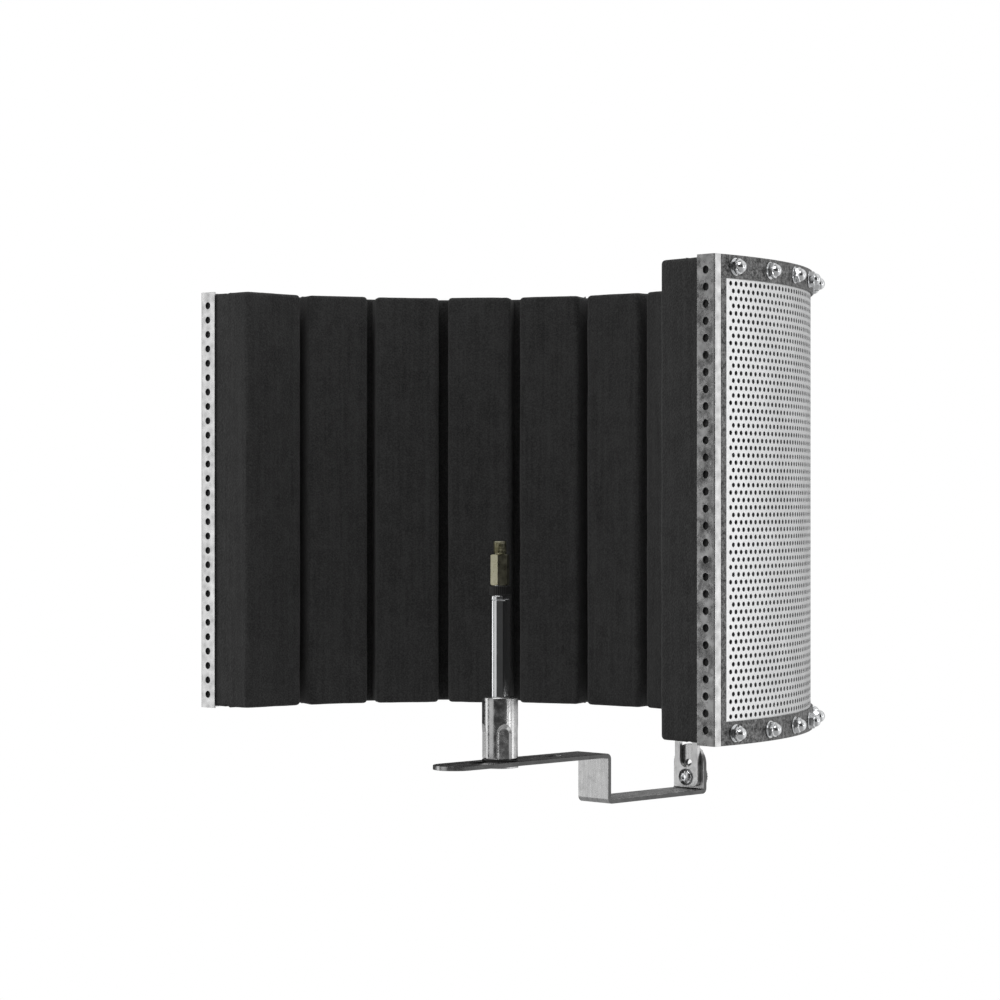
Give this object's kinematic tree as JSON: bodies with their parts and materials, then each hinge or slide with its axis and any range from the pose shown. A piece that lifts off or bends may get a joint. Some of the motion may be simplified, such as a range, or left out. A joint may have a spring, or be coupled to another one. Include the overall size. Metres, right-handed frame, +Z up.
{
  "type": "microphone isolation shield",
  "caption": "Half-round foam-lined perforated metal screen on a Z-shaped bar that clamps to a microphone stand and carries a short riser.",
  "frame": {"origin": "on the stand's axis, at the underside of the washer that the stand's collar meets", "axes": "+Z up along the stand, +Y from the stand towards the screen's closed back, +X to the right seen from the open side"},
  "size_m": [0.487, 0.2735, 0.363],
  "materials": {
    "bare_sheet": "bare perforated sheet, satin",
    "dark_coat": "dark grey textured powder coat",
    "channel_metal": "grey metallic coat, satin",
    "foam": "charcoal open-cell acoustic foam, matte",
    "plated_steel": "zinc plated, satin",
    "chrome": "polished chrome plate",
    "warm_nickel": "nickel-plated brass, satin",
    "black_plastic": "matte black",
    "dark_steel": "dark nickel, knurled"
  },
  "bodies": {
    "stand_fitting": {"stand_hub": "chrome", "stand_washer": "plated_steel"},
    "swivel": {"swivel_washer": "black_plastic"},
    "arm": {"z_bar": "plated_steel", "slotted_upright": "plated_steel", "clamp_bolt": "chrome", "clamp_washer": "plated_steel"},
    "clamp_nut": {"clamp_nut": "dark_steel"},
    "screen": {"perforated_shell": "bare_sheet", "top_edge_strip": "dark_coat", "bottom_edge_strip": "dark_coat", "end_channel_left": "channel_metal", "end_channel_right": "channel_metal", "side_strip_left": "dark_coat", "side_strip_right": "dark_coat", "foam_backing": "foam", "foam_pad_01": "foam", "foam_pad_02": "foam", "foam_pad_03": "foam", "foam_pad_04": "foam", "foam_pad_05": "foam", "foam_pad_06": "foam", "foam_pad_07": "foam", "foam_pad_08": "foam", "foam_pad_09": "foam", "foam_pad_10": "foam", "foam_pad_11": "foam", "foam_pad_12": "foam", "stud_plate_lower": "plated_steel", "stud_plate_upper": "plated_steel", "height_washer_lower": "plated_steel", "height_washer_upper": "plated_steel"},
    "height_nut_lower": {"height_nut_lower": "dark_steel"},
    "height_nut_upper": {"height_nut_upper": "dark_steel"},
    "riser": {"riser_rod": "chrome"},
    "lock_ring": {"lock_ring": "black_plastic"},
    "coupler": {"mic_coupler": "warm_nickel"}
  },
  "joints": [
    {"name": "arm_swivel", "type": "hinge", "parent": "stand_fitting", "child": "swivel", "pos_m": [0, 0, 0], "axis": [0, 0, 1], "continuous": true},
    {"name": "arm_reach", "type": "slide", "parent": "swivel", "child": "arm", "axis": [0, 1, 0], "range_m": [-0.055, 0.043]},
    {"name": "screen_height", "type": "slide", "parent": "arm", "child": "screen", "axis": [0, 0, 1], "range_m": [-0.04, 0.03]},
    {"name": "clamp_nut_turn", "type": "hinge", "parent": "arm", "child": "clamp_nut", "pos_m": [0, 0.199, -0.0195], "axis": [0, 1, 0], "continuous": true},
    {"name": "height_nut_lower_turn", "type": "hinge", "parent": "screen", "child": "height_nut_lower", "pos_m": [0, 0.199, 0.072], "axis": [0, 1, 0], "continuous": true},
    {"name": "height_nut_upper_turn", "type": "hinge", "parent": "screen", "child": "height_nut_upper", "pos_m": [0, 0.199, 0.172], "axis": [0, 1, 0], "continuous": true},
    {"name": "riser_turn", "type": "hinge", "parent": "stand_fitting", "child": "riser", "pos_m": [0, 0, 0.08], "axis": [0, 0, 1], "continuous": true},
    {"name": "lock_ring_turn", "type": "hinge", "parent": "riser", "child": "lock_ring", "pos_m": [0, 0, 0.12], "axis": [0, 0, 1], "continuous": true},
    {"name": "coupler_turn", "type": "hinge", "parent": "riser", "child": "coupler", "pos_m": [0, 0, 0.135], "axis": [0, 0, 1], "continuous": true}
  ]
}
